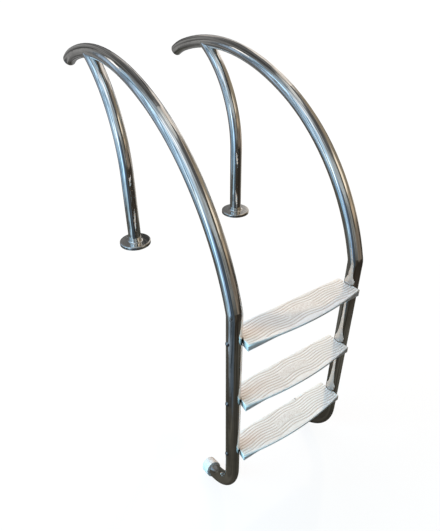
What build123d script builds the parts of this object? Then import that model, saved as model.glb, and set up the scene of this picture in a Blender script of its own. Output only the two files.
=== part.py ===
from build123d import *
import math
import os

# In-pool ladder with three treads. Two bent tube rails arch over the deck, each carried there by a
# bent post on a round base, and their straight legs hang in the water with the treads between them.
# Lengths are in millimetres. The origin is on the deck, at the centre of the left base plate's
# underside. +X runs along the treads to the right-hand rail, +Y points over the deck, away from the
# water, and +Z is up. The pool is on the -Y side.

# Tube and layout
tube_d = 48.3
tube_wall = 1.65
rail_spacing = 483.0      # between the two rails' axes
reach = 670.0             # from the post's axis at the deck to the leg's axis

# Rail, from the bumper end up, over the crest and down to the tip
stub_length = 30.0        # straight end of the tube, inside the bumper
elbow_radius = 178.8
elbow_angle = 72.5
leg_below_treads = 121.4  # from the lowest tread's top down to the elbow
kink_above_treads = 75.0  # from the highest tread's top up to the kink
kink_radius = 60.0
kink_angle = 16.5
bow_low_radius = 760.0
bow_low_angle = 45.6
bow_high_radius = 967.0
bow_high_angle = 42.0
tip_radius = 328.0
tip_angle = 13.7

# Post
post_landing = 228.0      # how far the post has leant over the deck where it meets the rail's axis
post_radius = 452.0
weld_gap = 0.3            # between the coped post and the rail

# Base: a plate on the deck under a pressed cover
plate_d = 108.0
plate_thickness = 6.0
screw_hole_d = 9.0
screw_circle_d = 82.0
screw_count = 4
cover_d = 120.0
cover_height = 13.0
cover_wall = 1.6
cover_edge_radius = 4.0
cover_neck_height = 8.0   # above the cover's flat top
cover_flare_radius = 5.5  # between the flat top and the neck
fit_gap = 0.3             # between pieces that slide over or into one another

# Tip cap and rubber bumper
cap_height = 9.0
cap_spigot = 12.0
bumper_wall = 5.5
bumper_floor = 11.6       # thickness of the closed end, below the tube
bumper_edge_radius = 5.0

# Treads
tread_count = 3
tread_pitch = 254.0
first_tread_top = 14.5
tread_depth_front = 47.0  # from the leg's axis to the front corners
tread_depth_rear = 40.0
tread_bow = 22.0          # how far the middle of the front edge stands out past its corners
tread_height = 25.0
lip_height = 6.0          # upright part of the front edge, above the face that slants back
horn_length = 10.2        # how far the front corners reach past the inside of the tube
heel_length = 3.8         # the same at the rear corners
notch_slack = 3.85        # how much the notch's radius exceeds the tube's
tread_skin = 4.0
end_block = 13.0
rib_thickness = 3.0
rib_count = 7
nosing_radius = 2.5
rear_corner_radius = 8.0

# Tread bolts
bolt_d = 8.0
bolt_hole_gap = 0.3
bolt_below_top = 13.5
bolt_head_d = 16.0
bolt_head_height = 5.0
bolt_tail = 3.0
nut_width = 13.0
nut_height = 6.5
thread_gap = 0.1

# Worked out from the values above
tube_r = tube_d / 2
bore_r = tube_r - tube_wall
leg_y = -reach
tread_tops = [first_tread_top - i * tread_pitch for i in range(tread_count)]
kink_z = tread_tops[0] + kink_above_treads
elbow_z = tread_tops[-1] - leg_below_treads
notch_r = tube_r + notch_slack
end_wall_x = rail_spacing / 2 - tube_r - fit_gap
cavity_x = end_wall_x - end_block

parts = {}
ALONG_X = Rotation(0, 90, 0)
UPWARD = (Align.CENTER, Align.CENTER, Align.MIN)
DOWNWARD = (Align.CENTER, Align.CENTER, Align.MAX)


def frame_at(line, t):
    """Plane across a path at the fraction t of its length, facing along the path."""
    return Plane(origin=line @ t, z_dir=line % t)


def stretch_of_pipe(line, section):
    """Carry a flat section, drawn about its own origin, along one straight or arc."""
    start = frame_at(line, 0) * section
    if line.geom_type == GeomType.LINE:
        return extrude(start, line.length, dir=line % 0)
    axis = Axis(line.arc_center, (line @ 0 - line.arc_center).cross(line % 0))
    return revolve(start, axis, math.degrees(line.length / line.radius))


def pipe(lines, outer_r, inner_r=0):
    """Round bar or tube along a chain of straights and arcs that run into one another."""
    section = Circle(outer_r)
    if inner_r > 0:
        section -= Circle(inner_r)
    return Part() + [stretch_of_pipe(line, section) for line in lines]


def dome(radius, height):
    """Cap of a ball, standing on z = 0."""
    ball_r = (radius ** 2 + height ** 2) / (2 * height)
    return Pos(0, 0, height - ball_r) * Sphere(ball_r) & Cylinder(2 * radius, 2 * height, align=UPWARD)


# The rail

def rail_lines():
    """The stretches of the rail's axis in the plane x = 0."""
    with BuildLine(Plane.YZ):
        elbow = JernArc((leg_y, elbow_z), (0, -1), elbow_radius, elbow_angle)
        stub = Line(elbow @ 1, elbow @ 1 + stub_length * (elbow % 1))
        leg = Line((leg_y, elbow_z), (leg_y, kink_z))
        kink = JernArc(leg @ 1, leg % 1, kink_radius, -kink_angle)
        bow_low = JernArc(kink @ 1, kink % 1, bow_low_radius, -bow_low_angle)
        bow_high = JernArc(bow_low @ 1, bow_low % 1, bow_high_radius, -bow_high_angle)
        tip = JernArc(bow_high @ 1, bow_high % 1, tip_radius, -tip_angle)
    return {"stub": stub, "elbow": elbow, "leg": leg, "kink": kink,
            "bow_low": bow_low, "bow_high": bow_high, "tip": tip}


def rail_tube(lines):
    """One bent tube with the tread bolts' holes through it."""
    tube = pipe(lines.values(), tube_r, bore_r)
    for top in tread_tops:
        hole = Cylinder(bolt_d / 2 + bolt_hole_gap, 2 * tube_d)
        tube -= Pos(0, leg_y, top - bolt_below_top) * ALONG_X * hole
    return tube


# The post

def landing_height(lines):
    """Height of the rail's axis above the place where the post lands."""
    arc = lines["bow_high"]
    centre = arc.arc_center
    return centre.Z + math.sqrt(arc.radius ** 2 - (post_landing - centre.Y) ** 2)


def post_tube(lines):
    """Straight foot and a bend that runs into the rail, coped to the rail's underside."""
    rise = math.sqrt(2 * post_radius * post_landing - post_landing ** 2)
    straight_top = landing_height(lines) - rise
    lean = math.degrees(math.asin(rise / post_radius))
    with BuildLine(Plane.YZ):
        foot = Line((0, plate_thickness), (0, straight_top))
        bend = JernArc(foot @ 1, foot % 1, post_radius, -lean)
    tube = pipe([foot, bend], tube_r, bore_r)
    cutter = pipe([lines["bow_high"]], tube_r + weld_gap)
    return min((tube - cutter).solids(), key=lambda piece: piece.center().Z)


# The base

def base_plate():
    """Flat disc under the post, with screw holes to the deck."""
    plate = Cylinder(plate_d / 2, plate_thickness, align=UPWARD)
    holes = PolarLocations(screw_circle_d / 2, screw_count, start_angle=180 / screw_count)
    return plate - holes * Cylinder(screw_hole_d / 2, 3 * plate_thickness)


def cover_form(inset):
    """Disc with a rounded rim and a flared neck, drawn in by inset and open at the top for inset > 0."""
    neck_r = tube_r + fit_gap + cover_wall - inset
    height = cover_height - inset
    disc = Cylinder(cover_d / 2 - inset, height, align=UPWARD)
    disc = fillet(disc.edges().sort_by(Axis.Z)[-1], cover_edge_radius - inset)
    form = disc + Cylinder(neck_r, cover_height + cover_neck_height + inset, align=UPWARD)
    level = form.edges().filter_by(GeomType.CIRCLE).group_by(Axis.Z)[-2]
    return fillet(level.sort_by(SortBy.RADIUS)[0], cover_flare_radius + inset)


def base_cover():
    """Pressed cover with a rounded rim and a neck that slides down the post and hides the plate."""
    return cover_form(0) - cover_form(cover_wall)


# The ends of the rail, drawn with their seam on the tube at z = 0

def tip_cap():
    """Pressed dome that closes the tube's tip, with a short spigot inside."""
    spigot_r = bore_r - fit_gap
    inner_r = spigot_r - tube_wall
    cap = dome(tube_r, cap_height) + Cylinder(spigot_r, cap_spigot, align=DOWNWARD)
    hollow = dome(inner_r, cap_height - tube_wall) + Cylinder(inner_r, cap_spigot, align=DOWNWARD)
    return cap - hollow


def bumper():
    """Rubber boot that slides over the straight end of the tube, closed by a thick round-edged wall."""
    bore = tube_r + fit_gap
    body = Pos(0, 0, -stub_length) * Cylinder(bore + bumper_wall, stub_length + bumper_floor, align=UPWARD)
    body = fillet(body.edges().sort_by(Axis.Z)[-1], bumper_edge_radius)
    return body - Cylinder(bore, 2 * stub_length, align=DOWNWARD)


# The treads, drawn about the middle of the top with y = 0 on the legs' axes

def tread_outline(front, rear, bow, front_x, rear_x):
    """Plan of a tread: straight rear edge, bowed front edge and straight ends."""
    with BuildSketch() as sketch:
        with BuildLine():
            if bow > 0:
                ThreePointArc((-front_x, -front), (0, -front - bow), (front_x, -front))
            else:
                Line((-front_x, -front), (front_x, -front))
            Polyline((front_x, -front), (rear_x, rear), (-rear_x, rear), (-front_x, -front))
        make_face()
    return sketch.sketch


def tread_form(inset, front_x, rear_x, top, lip, bottom):
    """Solid whose front edge is bowed at the top and straight at the bottom, drawn in by inset."""
    front = tread_depth_front - inset
    rear = tread_depth_rear - inset
    upper = tread_outline(front, rear, tread_bow, front_x, rear_x)
    lower = tread_outline(front, rear, 0, front_x, rear_x)
    slab = Pos(0, 0, lip) * extrude(upper, top - lip)
    return slab + loft([Pos(0, 0, lip) * upper, Pos(0, 0, bottom) * lower], ruled=True)


def tread_cavity():
    """Space under the skin, cut into cells by one long rib and several cross ribs."""
    deep = -tread_height - 1
    space = tread_form(tread_skin, cavity_x, cavity_x, -tread_skin, -lip_height, deep)
    depth = tread_depth_front + tread_depth_rear + 2 * tread_bow
    space -= Box(2 * cavity_x + 2, rib_thickness, 3 * tread_height)
    step = 2 * cavity_x / (rib_count + 1)
    for i in range(rib_count):
        x = -cavity_x + (i + 1) * step
        space -= Pos(x, 0, 0) * Box(rib_thickness, 2 * depth, 3 * tread_height)
    return space


def tread_body():
    """Moulded plank with a rounded edge, a notch round each leg, ribs below and bolt holes."""
    front_x = end_wall_x + horn_length
    rear_x = end_wall_x + heel_length
    body = tread_form(0, front_x, rear_x, 0, -lip_height, -tread_height)
    corners = body.edges().filter_by(Axis.Z).group_by(Axis.Y)[-1]
    body = fillet(corners, rear_corner_radius)
    for side in (-1, 1):
        body -= Pos(side * (end_wall_x + notch_r), 0, 0) * Cylinder(notch_r, 3 * tread_height)
    body = fillet(body.faces().sort_by(Axis.Z)[-1].outer_wire().edges(), nosing_radius)
    body -= tread_cavity()
    for side in (-1, 1):
        room = nut_height + 2 * bolt_tail
        x = side * (cavity_x - room / 2)
        body -= Pos(x, 0, -1.5 * tread_height - tread_skin) * Box(room, 1.4 * nut_width, 3 * tread_height)
    hole = Cylinder(bolt_d / 2 + bolt_hole_gap, 2 * rail_spacing)
    return body - Pos(0, 0, -bolt_below_top) * ALONG_X * hole


# The bolts, drawn along +X from their seat at x = 0

def tread_bolt():
    """Dome-headed bolt through the tube and the tread's end block."""
    grip = tube_d + fit_gap + end_block
    shank = Cylinder(bolt_d / 2, grip + nut_height + bolt_tail, align=UPWARD)
    head = Rotation(180, 0, 0) * dome(bolt_head_d / 2, bolt_head_height)
    return ALONG_X * (shank + head)


def tread_nut():
    """Hexagon nut behind the end block."""
    prism = extrude(RegularPolygon(nut_width / 2, 6, major_radius=False), nut_height)
    return ALONG_X * (prism - Cylinder(bolt_d / 2 + thread_gap, 3 * nut_height))


# Assembly

def add_pair(name, shape):
    """Add a piece of the left side and its mirror image on the right."""
    parts["left_" + name] = shape
    parts["right_" + name] = mirror(shape, about=Plane.YZ.offset(rail_spacing / 2))


lines = rail_lines()
add_pair("rail", rail_tube(lines))
add_pair("post", post_tube(lines))
add_pair("base_plate", base_plate())
add_pair("base_cover", base_cover())
add_pair("tip_cap", frame_at(lines["tip"], 1) * tip_cap())
add_pair("bumper", frame_at(lines["stub"], 1) * bumper())

body = tread_body()
bolt = tread_bolt()
nut = tread_nut()
for i, top in enumerate(tread_tops):
    number = str(i + 1)
    bolt_z = top - bolt_below_top
    parts["tread_" + number] = Pos(rail_spacing / 2, leg_y, top) * body
    add_pair("bolt_" + number, Pos(-tube_r, leg_y, bolt_z) * bolt)
    add_pair("nut_" + number, Pos(tube_r + fit_gap + end_block, leg_y, bolt_z) * nut)

os.makedirs("parts", exist_ok=True)
for name, shape in parts.items():
    export_step(shape, "parts/" + name + ".step")
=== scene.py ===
# %% [markdown]
# # A swimming pool ladder
#
# Two polished steel rails arch over the deck, each stands on a bent post with a round base, and
# three white moulded treads are bolted between the legs. The shapes come from the CAD model. This
# lesson gives them their finishes, presses the wavy grip grooves into the treads, and sets up the
# floor, the light and the camera.

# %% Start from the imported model
import bpy
import bmesh
import math
from mathutils import Matrix, Vector


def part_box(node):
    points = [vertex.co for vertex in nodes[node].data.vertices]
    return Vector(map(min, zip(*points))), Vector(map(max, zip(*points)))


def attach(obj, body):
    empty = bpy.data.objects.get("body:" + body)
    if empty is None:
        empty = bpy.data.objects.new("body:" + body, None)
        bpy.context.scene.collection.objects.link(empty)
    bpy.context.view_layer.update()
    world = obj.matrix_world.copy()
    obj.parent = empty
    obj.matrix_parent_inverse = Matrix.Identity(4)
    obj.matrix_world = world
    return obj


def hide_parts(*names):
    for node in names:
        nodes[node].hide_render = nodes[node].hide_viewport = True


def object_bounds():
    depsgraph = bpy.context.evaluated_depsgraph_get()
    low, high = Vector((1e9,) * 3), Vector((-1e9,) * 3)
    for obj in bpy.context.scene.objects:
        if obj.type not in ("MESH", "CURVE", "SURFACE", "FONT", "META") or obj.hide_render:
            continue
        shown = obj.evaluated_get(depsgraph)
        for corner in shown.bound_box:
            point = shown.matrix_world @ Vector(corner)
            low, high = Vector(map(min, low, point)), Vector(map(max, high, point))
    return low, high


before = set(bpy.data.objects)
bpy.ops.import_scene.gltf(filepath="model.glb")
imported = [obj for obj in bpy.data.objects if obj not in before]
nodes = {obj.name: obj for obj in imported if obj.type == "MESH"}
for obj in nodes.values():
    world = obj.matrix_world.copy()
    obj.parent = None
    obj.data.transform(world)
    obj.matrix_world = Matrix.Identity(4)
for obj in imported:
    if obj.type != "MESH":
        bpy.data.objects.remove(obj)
cad_low, cad_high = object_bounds()
print(len(nodes), "nodes, box", [round(v, 3) for v in cad_low], [round(v, 3) for v in cad_high])

# %% [markdown]
# ## The camera
#
# The photograph looks down on the ladder from the pool side. A camera is placed by where it
# stands, which way it turns and how strong its lens is. The turn is built from three directions at
# right angles, to the right, up and back, because that leaves no doubt about the order of angles.
# The picture was cropped a little off the lens's centre, so a small shift moves the frame.

# %% Place the camera
VIEW_TURN = math.radians(33.5)
VIEW_DROP = math.radians(31.52)
VIEW_ROLL = math.radians(0.48)
eye = Vector((-0.5431, -1.4166, 0.8682))

ahead = Vector((math.cos(VIEW_DROP) * math.sin(VIEW_TURN),
                math.cos(VIEW_DROP) * math.cos(VIEW_TURN), -math.sin(VIEW_DROP)))
level = ahead.cross(Vector((0, 0, 1))).normalized()
below = ahead.cross(level)
right = math.cos(VIEW_ROLL) * level + math.sin(VIEW_ROLL) * below
down = math.cos(VIEW_ROLL) * below - math.sin(VIEW_ROLL) * level

lens = bpy.data.cameras.new("camera")
lens.lens = 29.51
lens.sensor_width = 36.0
lens.shift_x = 0.0017
lens.shift_y = -0.0278
camera = bpy.data.objects.new("camera", lens)
facing = Matrix((right, -down, -ahead)).transposed().to_4x4()
camera.matrix_world = Matrix.Translation(eye) @ facing
bpy.context.scene.collection.objects.link(camera)
bpy.context.scene.camera = camera
bpy.context.scene.view_settings.view_transform = "Standard"
print("camera looks along", [round(v, 3) for v in ahead])

# %% [markdown]
# ## Helpers for materials
#
# A material is a small graph. The helpers below start one with a Principled shader, add a node with
# its settings in one line, join sockets, and do arithmetic. A number that is the same all over a
# surface is set on the shader's own socket. All but the first also work on the world, which has a
# graph of its own.

# %% Start and extend a node graph
def new_material(name, metallic, roughness, colour):
    material = bpy.data.materials.new(name)
    material.use_nodes = True
    material.diffuse_color = (*colour, 1)
    shader = material.node_tree.nodes["Principled BSDF"]
    shader.inputs["Metallic"].default_value = metallic
    shader.inputs["Roughness"].default_value = roughness
    shader.inputs["Base Color"].default_value = (*colour, 1)
    return material, shader


def add(material, kind, **settings):
    node = material.node_tree.nodes.new(kind)
    for key, value in settings.items():
        if key in node.inputs:
            node.inputs[key].default_value = value
        else:
            setattr(node, key, value)
    return node


def join(material, source, target):
    material.node_tree.links.new(source, target)


def reckon(material, operation, first, second, clamp=False):
    node = add(material, "ShaderNodeMath", operation=operation, use_clamp=clamp)
    for socket, value in zip(node.inputs, (first, second)):
        if isinstance(value, (int, float)):
            socket.default_value = value
        else:
            join(material, value, socket)
    return node.outputs[0]


# %% [markdown]
# Most finishes vary a little over the surface. This helper reads noise at a given size on the
# object's own coordinates and spreads it between two values, for a roughness or a mix of colours.
# The size is in metres. Two more helpers mix a pair of colours, each written out or taken from
# another node, and turn a height into a bump.

# %% Noise between two values
def varied(material, size, low, high, detail=3.0, stretch=(1, 1, 1)):
    place = add(material, "ShaderNodeTexCoord")
    turn = add(material, "ShaderNodeMapping", Scale=stretch)
    noise = add(material, "ShaderNodeTexNoise", Scale=1 / size, Detail=detail)
    spread = add(material, "ShaderNodeMapRange",
                 **{"From Min": 0.3, "From Max": 0.7, "To Min": low, "To Max": high})
    join(material, place.outputs["Object"], turn.inputs["Vector"])
    join(material, turn.outputs["Vector"], noise.inputs["Vector"])
    join(material, noise.outputs["Fac"], spread.inputs["Value"])
    return spread.outputs["Result"]


def blended(material, share, first, second):
    mix = add(material, "ShaderNodeMix", data_type="RGBA")
    for socket, colour in ((mix.inputs[6], first), (mix.inputs[7], second)):
        if isinstance(colour, tuple):
            socket.default_value = (*colour, 1)
        else:
            join(material, colour, socket)
    join(material, share, mix.inputs[0])
    return mix.outputs[2]


def bumped(material, height, distance, strength=1.0):
    bump = add(material, "ShaderNodeBump", Distance=distance, Strength=strength)
    join(material, height, bump.inputs["Height"])
    return bump.outputs["Normal"]


# %% [markdown]
# ## Polished steel
#
# The rails, posts and base covers are stainless tube and sheet, buffed to a mirror. What the eye
# reads as steel is the room in it, so the shader is a plain metal in the true tone of steel, with a
# low roughness. Four faint things break the mirror: cloudy patches left by the buffing wheel, lines
# from drawing the tube through its die, fine dust in the roughness, and a ripple that makes long
# reflections waver. The drawn lines are noise stretched fifty times along the tubes, which all run
# in upright planes, and they show as tone and as a bump of about a tenth of a millimetre. Tubes and
# covers have the same steel in two materials, so that either can be changed by itself.

# %% Make the polished steel
STEEL_TONE = (0.72, 0.71, 0.69)
ALONG_TUBES = (1, 0.02, 0.02)


def polished_steel(name, tone):
    material, shader = new_material(name, 1.0, 0.05, tone)
    clouds = varied(material, 0.06, 0.0, 0.5, 4.0)
    drawn = varied(material, 0.007, 0.0, 0.5, 2.0, ALONG_TUBES)
    dull = tuple(0.72 * c for c in tone)
    bright = tuple(1.12 * c for c in tone)
    share = reckon(material, "ADD", clouds, drawn, True)
    join(material, blended(material, share, dull, bright), shader.inputs["Base Color"])
    dust = varied(material, 0.012, 0.015, 0.05, 6.0)
    join(material, dust, shader.inputs["Roughness"])
    ripple = varied(material, 0.035, 0.0, 1.0, 2.0)
    lines = varied(material, 0.006, 0.0, 1.0, 2.0, ALONG_TUBES)
    over = add(material, "ShaderNodeBump", Distance=0.00012, Strength=1.0)
    join(material, lines, over.inputs["Height"])
    join(material, bumped(material, ripple, 0.0006, 0.25), over.inputs["Normal"])
    join(material, over.outputs["Normal"], shader.inputs["Normal"])
    return material


steel_tube = polished_steel("steel_tube", STEEL_TONE)
steel_cover = polished_steel("steel_cover", STEEL_TONE)
print(steel_tube.name, steel_cover.name)

# %% [markdown]
# ## Plain steel
#
# The plate under each cover is only brushed. Its roughness is higher, and fine scratches show as
# noise that is squeezed along one direction. The bolts and nuts are turned bright and a little
# darker than the tubes, and their wear has no direction.

# %% Make the plain steel
def plain_steel(name, colour, stretch, rough_low, rough_high):
    material, shader = new_material(name, 1.0, rough_low, colour)
    scratches = varied(material, 0.004, rough_low, rough_high, 5.0, stretch)
    join(material, scratches, shader.inputs["Roughness"])
    lines = varied(material, 0.002, 0.0, 1.0, 3.0, stretch)
    join(material, bumped(material, lines, 0.0002, 0.3), shader.inputs["Normal"])
    tone = varied(material, 0.02, 0.0, 1.0)
    shade = tuple(0.8 * c for c in colour)
    join(material, blended(material, tone, shade, colour), shader.inputs["Base Color"])
    return material


steel_plate = plain_steel("steel_plate", (0.50, 0.49, 0.48), (1, 12, 1), 0.22, 0.42)
steel_bolt = plain_steel("steel_bolt", (0.27, 0.265, 0.26), (1, 1, 1), 0.06, 0.12)
print(steel_plate.name, steel_bolt.name)

# %% Put the steels on the nodes
def finish(piece, material):
    piece.data.materials.clear()
    piece.data.materials.append(material)


finishes = {"rail": steel_tube, "post": steel_tube, "tip_cap": steel_tube,
            "base_cover": steel_cover, "base_plate": steel_plate,
            "bolt": steel_bolt, "nut": steel_bolt}
for name, piece in nodes.items():
    for ending, material in finishes.items():
        if "_" + ending in name:
            finish(piece, material)

# %% [markdown]
# ## White rubber
#
# The boot over each low end of the rails is white rubber, moulded in one piece and pushed on. It is
# a little darker and warmer than the treads, and a fine grain in the bump keeps it from looking
# like glazed china.

# %% Make the rubber
rubber, shader = new_material("white_rubber", 0.0, 0.5, (0.70, 0.67, 0.65))
cloudy = blended(rubber, varied(rubber, 0.01, 0, 1),
                 (0.55, 0.525, 0.505), (0.62, 0.595, 0.575))
join(rubber, cloudy, shader.inputs["Base Color"])
join(rubber, varied(rubber, 0.003, 0.42, 0.58), shader.inputs["Roughness"])
grain = varied(rubber, 0.0012, 0, 1)
join(rubber, bumped(rubber, grain, 0.0002, 0.4), shader.inputs["Normal"])
for side in ("left", "right"):
    finish(nodes[side + "_bumper"], rubber)

# %% [markdown]
# ## Grip grooves in the treads
#
# The top of each tread is pressed with nine fine grooves that wave along it, three crests to a
# tread, and an oval in the middle is left smooth. Grooves this fine could be a bump in the
# material, but as real grooves they hold up close to the camera. The way is to copy the CAD mesh,
# merge its loose triangles, melt the flat top into one face, and cut that face along the grooves'
# edges. Cuts are straight, so the top is first bent by the wave the other way, cut along straight
# lines, and bent back, which turns the lines into waves.
#
# Three numbers are left on each point for the plastic to read: how far it is pressed in, whether it
# is in the oval, and whether it is on the wall of the notch that goes round a leg. The gap there is
# narrow and lies in shadow, and the plastic paints that wall near black as painted shade.

# %% The shape of the grooves, in metres
FIRST_GROOVE = 0.0283        # from the leg's axis towards the deck
GROOVE_PITCH = 0.0097
GROOVE_COUNT = 9
GROOVE_WIDTH = 0.0042
GROOVE_DEPTH = 0.0007
WAVE_LENGTH = 0.129
WAVE_HEIGHT = 0.0032
COLUMN = 0.0043              # between the cuts across the tread
FRONT_CORNER = 0.047
FRONT_BOW = 0.022
MARGIN = 0.006               # left plain along the front edge
END_MARGIN = 0.004
OVAL_CENTRE = -0.0105        # from the leg's axis
OVAL_HALF_WIDTH = 0.0145
OVAL_HALF_LENGTH = 0.062
SAME_POINT = 1e-6
NOTCH_RADIUS = 0.028         # of the cut-out round each leg
NOTCH_CENTRE = 0.24505       # from the tread's middle

tread_low, tread_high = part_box("tread_1")
middle_x = (tread_low.x + tread_high.x) / 2
half_length = (tread_high.x - tread_low.x) / 2
leg_y = tread_low.y + FRONT_CORNER + FRONT_BOW
print("tread middle", round(middle_x, 4), "leg axis", round(leg_y, 4))


def wave(x):
    return WAVE_HEIGHT * math.cos(2 * math.pi * (x - middle_x) / WAVE_LENGTH)


def front_edge(x):
    share = (x - middle_x) / half_length
    return leg_y - FRONT_CORNER - FRONT_BOW * (1 - share ** 2)


def eased(value, low, high):
    share = min(max((value - low) / (high - low), 0.0), 1.0)
    return share * share * (3 - 2 * share)


# %% [markdown]
# How deep a point lies depends on three things: where it is across its groove, how near it is to an
# edge of the tread, where the grooves run out, and whether it is in the smooth oval.

# %% How far a point is pressed in
def in_oval(x, y):
    across = (y - wave(x) - leg_y - OVAL_CENTRE) / OVAL_HALF_WIDTH
    along = (x - middle_x) / OVAL_HALF_LENGTH
    return eased(1.0 - across ** 4 - along ** 4, 0.0, 0.10)


def depth_at(x, y, groove_share):
    keep = eased(y - front_edge(x), MARGIN, MARGIN + 0.003)
    keep *= eased(half_length - abs(x - middle_x), END_MARGIN, END_MARGIN + 0.005)
    keep *= 1.0 - in_oval(x, y)
    return keep * groove_share


# %% Cut the grooves into a copy of each tread
def melted_copy(node):
    shape = bmesh.new()
    shape.from_mesh(node.data)
    for key in ("pressed", "oval", "painted_notch_shade"):
        shape.verts.layers.float.new(key)
    bmesh.ops.remove_doubles(shape, verts=shape.verts, dist=SAME_POINT)
    top_z = max(v.co.z for v in shape.verts)
    tops = [f for f in shape.faces if all(abs(v.co.z - top_z) < SAME_POINT for v in f.verts)]
    melted = bmesh.ops.dissolve_faces(shape, faces=tops, use_verts=False)["region"]
    return shape, melted, top_z


def cut(shape, geometry, point, normal):
    result = bmesh.ops.bisect_plane(shape, geom=geometry, dist=SAME_POINT,
                                    plane_co=point, plane_no=normal)
    return [g for g in result["geom"] if g.is_valid]


def points_of(geometry):
    return [g for g in geometry if isinstance(g, bmesh.types.BMVert)]


def groove_lines():
    lines = []
    for i in range(GROOVE_COUNT):
        centre = leg_y + FIRST_GROOVE - i * GROOVE_PITCH
        for share, depth in ((-0.5, 0.0), (-0.24, 1.0), (0.24, 1.0), (0.5, 0.0)):
            lines.append((centre + share * GROOVE_WIDTH, depth))
    return lines


# Points on the wall of each notch get a 1: there the plastic is painted near black, a painted shade
# for the shadowed gap round the leg.
def paint_notch_wall_shade(shape, top_z):
    painted_notch_shade = shape.verts.layers.float["painted_notch_shade"]
    for vert in shape.verts:
        out = math.hypot(abs(vert.co.x - middle_x) - NOTCH_CENTRE, vert.co.y - leg_y)
        vert[painted_notch_shade] = float(abs(out - NOTCH_RADIUS) < 0.0004 and vert.co.z < top_z - 0.0015)


def press_grooves(shape, geometry):
    count = int(2 * half_length / COLUMN)
    for i in range(1, count):
        x = middle_x - half_length + i * 2 * half_length / count
        geometry = cut(shape, geometry, (x, 0, 0), (1, 0, 0))
    for vert in points_of(geometry):
        vert.co.y -= wave(vert.co.x)
    lines = groove_lines()
    for y, depth in lines:
        geometry = cut(shape, geometry, (0, y, 0), (0, 1, 0))
    layer = shape.verts.layers.float["pressed"]
    oval = shape.verts.layers.float["oval"]
    for vert in points_of(geometry):
        y = vert.co.y
        share = max([d for line, d in lines if abs(line - y) < 2e-5], default=0.0)
        vert.co.y += wave(vert.co.x)
        pressed = depth_at(vert.co.x, vert.co.y, share)
        vert.co.z -= GROOVE_DEPTH * pressed
        vert[layer] = pressed
        vert[oval] = in_oval(vert.co.x, vert.co.y)


# %% Make the three grooved treads
def grooved_tread(name):
    shape, melted, top_z = melted_copy(nodes[name])
    edges = [e for f in melted for e in f.edges]
    verts = [v for f in melted for v in f.verts]
    press_grooves(shape, list(dict.fromkeys([*melted, *edges, *verts])))
    paint_notch_wall_shade(shape, top_z)
    bmesh.ops.triangulate(shape, faces=[f for f in shape.faces if len(f.verts) > 4])
    mesh = bpy.data.meshes.new(name + "_grooved")
    shape.to_mesh(mesh)
    shape.free()
    mesh.shade_smooth()
    mesh.set_sharp_from_angle(angle=math.radians(35))
    piece = bpy.data.objects.new(name + "_grooved", mesh)
    bpy.context.scene.collection.objects.link(piece)
    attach(piece, "root")
    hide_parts(name)
    print(piece.name, len(mesh.polygons), "faces")
    return piece


treads = [grooved_tread("tread_" + str(i + 1)) for i in range(3)]

# %% [markdown]
# ## White plastic
#
# The treads are moulded in an off-white plastic. The pressed grooves hold a film of dust and scale,
# and the colour there goes to beige, which is that dust and also painted shade of the recess, read
# from the number that the cutting left on each point. The oval has a fine stipple of the same
# beige, and the walls of the notches are painted near black as shade.

# %% Make the plastic
plastic, shader = new_material("tread_plastic_white", 0.0, 0.45, (0.80, 0.78, 0.75))
pressed = add(plastic, "ShaderNodeAttribute", attribute_name="pressed").outputs["Fac"]
oval = add(plastic, "ShaderNodeAttribute", attribute_name="oval").outputs["Fac"]
painted_notch_shade = add(plastic, "ShaderNodeAttribute", attribute_name="painted_notch_shade").outputs["Fac"]
plain = blended(plastic, varied(plastic, 0.03, 0, 1), (0.79, 0.76, 0.725), (0.85, 0.83, 0.80))
stipple = reckon(plastic, "MULTIPLY", oval, varied(plastic, 0.0045, 0.0, 0.75, 1.0))
# The beige in the grooves is dust and also painted shade of the recess; the oval's stipple is a
# pattern.
dust_shade_and_stipple = reckon(plastic, "MAXIMUM", pressed, stipple)
dusty_and_shaded = blended(plastic, dust_shade_and_stipple, plain, (0.57, 0.495, 0.445))
# Painted shade: the notch walls go near black, standing for the shadow in the gap round the leg.
shaded = blended(plastic, painted_notch_shade, dusty_and_shaded, (0.035, 0.033, 0.03))
join(plastic, shaded, shader.inputs["Base Color"])
join(plastic, varied(plastic, 0.004, 0.42, 0.6), shader.inputs["Roughness"])
shader.inputs["Specular IOR Level"].default_value = 0.3
join(plastic, bumped(plastic, varied(plastic, 0.0008, 0, 1), 0.0001, 0.35), shader.inputs["Normal"])
for tread in treads:
    finish(tread, plastic)

# %% [markdown]
# ## The floor
#
# The photograph's background is plain white. A wide disc of pale floor lies under the lowest point
# of the rails. To the camera and in reflections it shines by itself, a little less near the ladder,
# so that the lamps' light on top doesn't clip and the ladder's soft shadow shows. The shine rises
# to full white with the distance, read from the length of the object coordinates. Light that
# bounces off the floor sees a duller floor, so the undersides stay shaded as in the photograph.

# %% Tell light that reaches the eye from light that bounces on
def straight_to_eye(material):
    rays = add(material, "ShaderNodeLightPath")
    either = reckon(material, "ADD", rays.outputs["Is Camera Ray"], rays.outputs["Is Glossy Ray"])
    return reckon(material, "ADD", either, rays.outputs["Is Transmission Ray"], True)


# %% Lay the floor
MIDDLE_X = 0.24              # of the ladder, on which floor, lamps and screen are centred
FLOOR_RADIUS = 150
FLOOR_GAP = 0.0005           # between the lowest point and the floor

floor_shape = bmesh.new()
bmesh.ops.create_circle(floor_shape, cap_ends=True, segments=96, radius=FLOOR_RADIUS)
bmesh.ops.translate(floor_shape, verts=floor_shape.verts,
                    vec=(MIDDLE_X, 0, cad_low.z - FLOOR_GAP))
floor_mesh = bpy.data.meshes.new("floor")
floor_shape.to_mesh(floor_mesh)
floor_shape.free()
floor = bpy.data.objects.new("floor", floor_mesh)
bpy.context.scene.collection.objects.link(floor)

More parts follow.
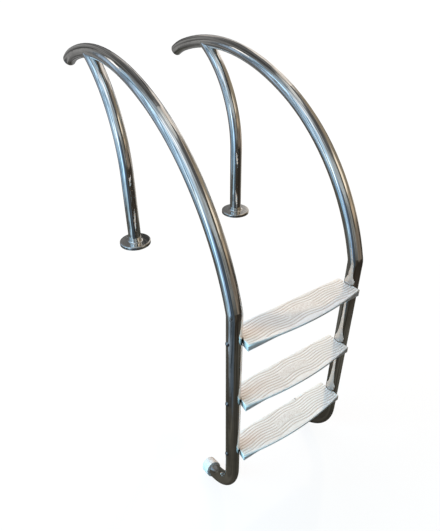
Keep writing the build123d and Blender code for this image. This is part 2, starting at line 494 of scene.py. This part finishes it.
pale, pale_shader = new_material("pale_floor", 0.0, 1.0, (0.12, 0.12, 0.12))
place = add(pale, "ShaderNodeTexCoord")
away = add(pale, "ShaderNodeVectorMath", operation="LENGTH")
join(pale, place.outputs["Object"], away.inputs[0])
paler = add(pale, "ShaderNodeMapRange", interpolation_type="SMOOTHSTEP",
            **{"From Min": 1.0, "From Max": 7.0, "To Min": 0.86, "To Max": 1.0})
join(pale, away.outputs["Value"], paler.inputs["Value"])
glow = reckon(pale, "MULTIPLY", straight_to_eye(pale), paler.outputs["Result"])
pale_shader.inputs["Emission Color"].default_value = (1, 1, 1, 1)
pale_shader.inputs["Specular IOR Level"].default_value = 0.0
join(pale, glow, pale_shader.inputs["Emission Strength"])
floor_mesh.materials.append(pale)

# %% [markdown]
# ## The light
#
# Four boxes light the plastic: low blue daylight from a window at the left, a wide soft one from
# above and behind, far enough away to light all three treads alike, a little warm light from the
# right, and a small warm key lamp from the right and behind. The key lamp's shadows have an edge:
# the right leg shades the right ends of the lower two treads, and the rail's bow lays a band across
# the top one. Each box is turned to the middle of the ladder. They are kept out of reflections,
# because the tubes get a fuller picture to mirror in the next step.

# %% Set the soft boxes
ROOM_CENTRE = Vector((MIDDLE_X, -0.2, 0.0))


def towards(turn, rise):
    turn, rise = math.radians(turn), math.radians(rise)
    flat = math.cos(rise)
    return Vector((math.sin(turn) * flat, math.cos(turn) * flat, math.sin(rise)))


def soft_box(name, turn, rise, distance, width, height, colour, radiance):
    lamp = bpy.data.lights.new(name, "AREA")
    lamp.shape = "RECTANGLE"
    lamp.size, lamp.size_y = width, height
    lamp.color = colour
    lamp.energy = radiance * math.pi * width * height
    box = bpy.data.objects.new(name, lamp)
    box.location = ROOM_CENTRE + distance * towards(turn, rise)
    box.rotation_mode = "QUATERNION"
    box.rotation_quaternion = towards(turn, rise).to_track_quat("Z", "Y")
    box.visible_camera = box.visible_glossy = False
    bpy.context.scene.collection.objects.link(box)
    return box


soft_box("window", -91, 8, 3.2, 2.2, 2.2, (0.40, 0.77, 1.0), 15.5)
soft_box("ceiling", -10, 55, 6.5, 8.0, 5.0, (0.96, 0.925, 1.0), 2.55)
soft_box("key", 59.5, 49.5, 6.0, 0.25, 0.25, (1.0, 0.75, 0.44), 560)
soft_box("warm_lamp", 84, 40, 3.2, 2.4, 1.8, (1.0, 0.87, 0.73), 3.0)

# %% [markdown]
# ## What the tubes mirror
#
# A polished tube looks like the room around it, so the ladder gets a room. A round screen, which
# only reflections see, stands a little over two metres away on all sides, with its underside
# pressed flat on the floor. It is dull, with soft patches of light and dark: a wide blue window at
# the left with its bright sky, its bars and its light on the floor, a grey wall behind, a pale wall
# and a warm lamp at the right, and a ceiling with lit panels.
#
# Each patch is a range of turn and rise in degrees with a colour and a soft edge, and a later patch
# lies over the ones before it. The ranges and colours were given one by one, guided by measuring
# what the tubes in the photograph mirror. They stand for that room only roughly, and most of all on
# the sides that no tube mirrors towards the camera. The colour goes on the screen's points as
# paint, and its cloth shines with the paint times a streaky noise, which stands for the clutter of
# a room.

# %% List the patches: turn from and to, rise from and to, softness, colour
DULL = (0.079, 0.075, 0.062)
PATCHES = (
    (-75, 60, -90, -18, 16, (0.11, 0.11, 0.10)),
    # ceiling
    (-200, 200, 50, 95, 12, (0.14, 0.14, 0.14)),
    (-165, -128, 42, 76, 14, (0.41, 0.46, 0.50)),
    (-128, -70, 42, 75, 14, (0.92, 1.01, 1.10)),
    (-76, -48, 42, 75, 14, (0.49, 0.60, 0.69)),
    (56, 84, 46, 74, 10, (0.95, 0.85, 0.76)),
    (88, 145, 44, 62, 12, (0.41, 0.35, 0.29)),
    (-200, 200, 80, 95, 8, (1.12, 1.15, 1.13)),
    (-53, -36, 34, 70, 8, (0.32, 0.35, 0.37)),
    # far left
    (-200, -140, 0, 50, 14, (0.28, 0.29, 0.28)),
    (-172, -122, 27, 50, 10, (0.53, 0.59, 0.62)),
    (-200, -106, -30, -6, 8, (0.065, 0.054, 0.041)),
    # window
    (-124, -80, 24, 50, 10, (0.68, 0.88, 1.06)),
    (-107, -38, -15, 46, 10, (0.64, 0.95, 1.25)),
    (-50, -24, -6, 28, 14, (0.41, 0.55, 0.72)),
    (-108, -92, -32, 8, 8, (0.73, 1.18, 1.51)),
    (-86, -66, -15, -2, 8, (0.40, 0.75, 1.12)),
    (-66, -24, -16, -4, 8, (0.22, 0.33, 0.45)),
    (-110, -92, 14, 25, 6, (1.41, 1.68, 1.78)),
    (-100, -74, 6, 18, 7, (0.99, 1.24, 1.42)),
    (-122, -108, -20, 26, 6, (0.32, 0.49, 0.74)),
    (-150, -122, -40, 23, 6, (0.082, 0.11, 0.14)),
    # the window's bars
    (-91, -86, -40, 44, 3, (0.086, 0.10, 0.13)),
    (-71, -67, -40, 44, 3, (0.086, 0.11, 0.14)),
    (-55, -52, -20, 36, 3, (0.10, 0.13, 0.15)),
    # the window's light on the floor
    (-108, -96, -38, -24, 6, (0.39, 0.51, 0.64)),
    (-84, -64, -32, -20, 10, (0.17, 0.22, 0.27)),
    (-122, -104, -42, -26, 10, (0.16, 0.20, 0.24)),
    (-98, -80, -34, -12, 6, (0.40, 0.55, 0.66)),
    # wall behind
    (-26, 46, -18, 50, 10, (0.20, 0.20, 0.20)),
    (-38, -29, 32, 40, 4, (1.55, 1.53, 1.51)),
    (14, 46, 32, 42, 6, (0.66, 0.62, 0.59)),
    # right
    (42, 62, -24, 58, 8, (1.14, 1.06, 0.98)),
    (60, 74, -24, 40, 8, (0.77, 0.73, 0.69)),
    (72, 140, -4, 56, 10, (0.31, 0.26, 0.19)),
    (54, 68, 34, 50, 6, (0.95, 0.89, 0.84)),
    (62, 84, 47, 66, 7, (1.03, 0.95, 0.86)),
    (84, 100, -12, 4, 6, (0.65, 0.55, 0.45)),
    (72, 106, -24, -10, 8, (0.15, 0.14, 0.12)),
    (104, 200, -30, -4, 8, (0.042, 0.035, 0.028)),
    (112, 128, -8, 6, 5, (0.028, 0.021, 0.018)),
    (126, 200, -6, 14, 6, (0.23, 0.19, 0.15)),
    (132, 160, 29, 48, 8, (1.22, 1.06, 0.84)),
    (130, 160, 14, 26, 8, (0.59, 0.46, 0.32)),
)


# %% Paint them on the round screen
SCREEN_RADIUS = 2.3
SCREEN_GAP = 0.0003          # between the lowest point and the screen's underside


def within(value, low, high, soft):
    risen = eased(value, low - soft / 2, low + soft / 2)
    fallen = eased(value, high - soft / 2, high + soft / 2)
    return risen * (1 - fallen)


def light_from(direction):
    turn = math.degrees(math.atan2(direction.x, direction.y))
    rise = math.degrees(math.asin(direction.z / direction.length))
    colour = Vector(DULL)
    for left, right_end, low, high, soft, tone in PATCHES:
        weight = within(turn, left, right_end, soft) * within(rise, low, high, soft)
        colour = colour.lerp(Vector(tone), weight)
    return (*colour, 1)


screen_shape = bmesh.new()
bmesh.ops.create_uvsphere(screen_shape, u_segments=240, v_segments=100, radius=SCREEN_RADIUS)
paint = screen_shape.verts.layers.float_color.new("paint")
screen_foot = cad_low.z - SCREEN_GAP
for vert in screen_shape.verts:
    vert[paint] = light_from(vert.co)
    if vert.co.z < screen_foot:
        vert.co *= screen_foot / vert.co.z
bmesh.ops.translate(screen_shape, verts=screen_shape.verts, vec=ROOM_CENTRE)
screen_mesh = bpy.data.meshes.new("round_screen")
screen_shape.to_mesh(screen_mesh)
screen_shape.free()
screen = bpy.data.objects.new("round_screen", screen_mesh)
bpy.context.scene.collection.objects.link(screen)
screen.visible_camera = screen.visible_diffuse = screen.visible_transmission = False
screen.visible_shadow = screen.visible_volume_scatter = False
print(screen.name, len(screen_mesh.polygons), "faces")

cloth, cloth_shader = new_material("screen_cloth", 0.0, 1.0, (0, 0, 0))
painted = add(cloth, "ShaderNodeAttribute", attribute_name="paint")
cloth_shader.inputs["Specular IOR Level"].default_value = 0.0
cloth_shader.inputs["Emission Strength"].default_value = 1.0
clutter = add(cloth, "ShaderNodeVectorMath", operation="SCALE")
join(cloth, painted.outputs["Color"], clutter.inputs[0])
join(cloth, varied(cloth, 0.17, 0.2, 1.8, 4.0, (1, 0.12, 0.12)), clutter.inputs["Scale"])
join(cloth, clutter.outputs[0], cloth_shader.inputs["Emission Color"])
screen_mesh.materials.append(cloth)

# %% [markdown]
# The world gives a faint light that grows with height to the surfaces, and plain white to the eye.

# %% The room's own light
world = bpy.data.worlds.new("room")
bpy.context.scene.world = world
world.use_nodes = True
backdrop = world.node_tree.nodes["Background"]
backdrop.inputs["Color"].default_value = (1, 1, 1, 1)
ceiling = add(world, "ShaderNodeBackground")
place = add(world, "ShaderNodeTexCoord")
split = add(world, "ShaderNodeSeparateXYZ")
ramp = add(world, "ShaderNodeValToRGB")
darker, lighter = ramp.color_ramp.elements
darker.position, darker.color = 0.0, (0.06, 0.06, 0.06, 1)
lighter.position, lighter.color = 0.8, (0.30, 0.30, 0.29, 1)
which = add(world, "ShaderNodeMixShader")
join(world, place.outputs["Generated"], split.inputs[0])
join(world, split.outputs["Z"], ramp.inputs["Fac"])
join(world, ramp.outputs["Color"], ceiling.inputs["Color"])
join(world, straight_to_eye(world), which.inputs[0])
join(world, ceiling.outputs[0], which.inputs[1])
join(world, backdrop.outputs[0], which.inputs[2])
join(world, which.outputs[0], world.node_tree.nodes["World Output"].inputs["Surface"])
